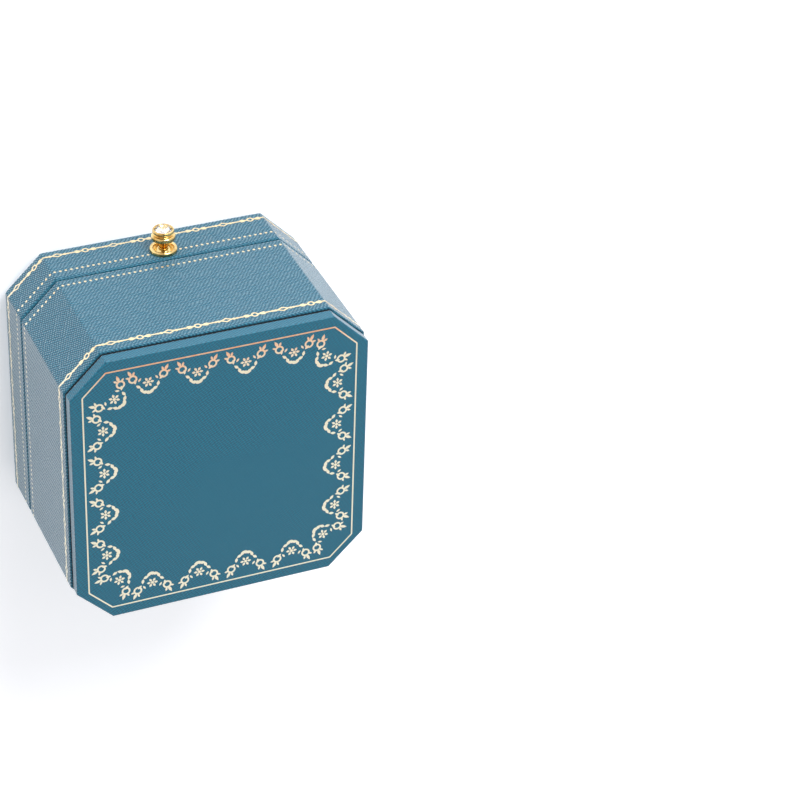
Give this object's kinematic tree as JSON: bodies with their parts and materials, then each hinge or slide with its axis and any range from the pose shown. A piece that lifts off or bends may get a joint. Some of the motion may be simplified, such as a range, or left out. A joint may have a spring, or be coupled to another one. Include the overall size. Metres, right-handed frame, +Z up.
{
  "type": "ring box",
  "caption": "Octagonal leatherette ring box with a deep hinged lid, shallow base, slotted velvet cushion and a push-button catch.",
  "frame": {"origin": "centre of the octagonal felt on the underside, on the surface that the box stands on", "axes": "+Z up through the lid, -Y towards the button at the front, +Y towards the hinge at the back, +X to the right seen from the front"},
  "size_m": [0.076, 0.0844, 0.0548],
  "materials": {
    "leatherette": "satin, cross-hatched grain",
    "board": "matte",
    "moulding": "matte",
    "velvet": "velvet pile",
    "satin": "satin weave",
    "felt": "matte felt",
    "brass": "polished",
    "steel": "satin",
    "crystal": "polished facets"
  },
  "bodies": {
    "base": {"foot_felt": "felt", "base_panel_wrap": "leatherette", "base_panel_board": "board", "base_core": "moulding", "base_wall_wrap": "leatherette", "cushion_tray": "board", "velvet_deck": "velvet", "ring_cushion_front": "velvet", "ring_cushion_back": "velvet", "button_escutcheon": "brass", "latch_housing": "steel", "housing_rivet_left": "brass", "housing_rivet_right": "brass", "hinge_leaf_base": "brass", "hinge_pin": "steel", "hinge_spring": "steel", "hinge_rivet_base_left": "brass", "hinge_rivet_base_right": "brass", "button_spring": "steel"},
    "lid": {"lid_panel_wrap": "leatherette", "lid_panel_board": "board", "lid_core": "moulding", "lid_wall_wrap": "leatherette", "lid_liner": "satin", "lid_pillow": "satin", "lid_strike": "steel", "strike_rivet_left": "brass", "strike_rivet_right": "brass", "hinge_leaf_lid": "brass", "hinge_rivet_lid_left": "brass", "hinge_rivet_lid_right": "brass"},
    "button": {"button_knob": "brass", "button_crystal": "crystal", "latch_plate": "steel", "latch_nut": "brass"}
  },
  "joints": [
    {"name": "lid_hinge", "type": "hinge", "parent": "base", "child": "lid", "pos_m": [0, 0.0381, 0.0174], "axis": [-1, 0, 0], "range_deg": [0, 100], "deforming": ["hinge_spring"]},
    {"name": "button_slide", "type": "slide", "parent": "base", "child": "button", "axis": [0, 1, 0], "range_m": [0, 0.0015], "stiffness_N_per_m": 400, "springref_m": -0.002, "deforming": ["button_spring"]}
  ]
}
